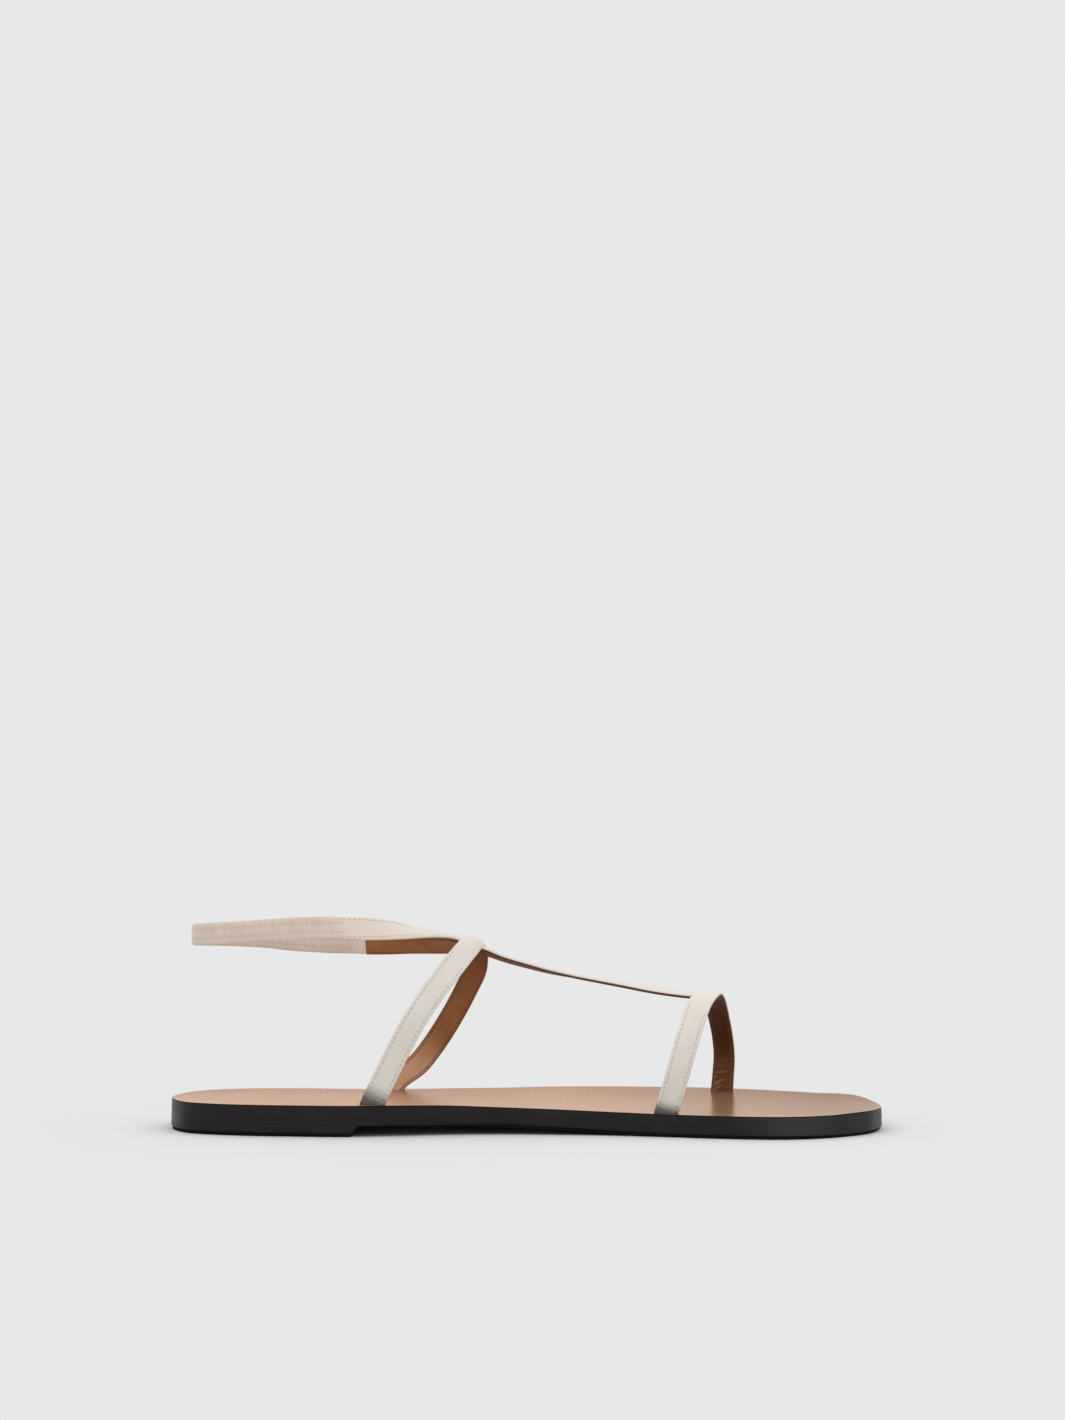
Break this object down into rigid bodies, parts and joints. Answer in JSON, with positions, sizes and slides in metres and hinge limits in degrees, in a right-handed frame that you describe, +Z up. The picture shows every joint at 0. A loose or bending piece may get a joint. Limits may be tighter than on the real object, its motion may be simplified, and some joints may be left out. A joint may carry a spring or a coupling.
{
  "type": "sandal",
  "caption": "Flat open sandal for the left foot: black sole with a low heel, tan footbed, narrow cream toe and instep straps joined by a T-bar, elastic heel sling.",
  "frame": {"origin": "bottom centre of the bounding box, on the plane the sandal stands on", "axes": "+X from heel to toe, +Y towards the outer side of the foot, +Z up"},
  "size_m": [0.2492, 0.0952, 0.0758],
  "materials": {
    "sole_black": "satin black edge",
    "lift_black": "satin black",
    "insole_tan": "polished tan",
    "strap_cream": "smooth cream, brown lining",
    "sling_beige": "ruched elastic"
  },
  "bodies": {
    "root": {"outsole": "sole_black", "heel_lift": "lift_black", "insole": "insole_tan", "upper": "strap_cream", "heel_sling": "sling_beige"}
  },
  "joints": []
}
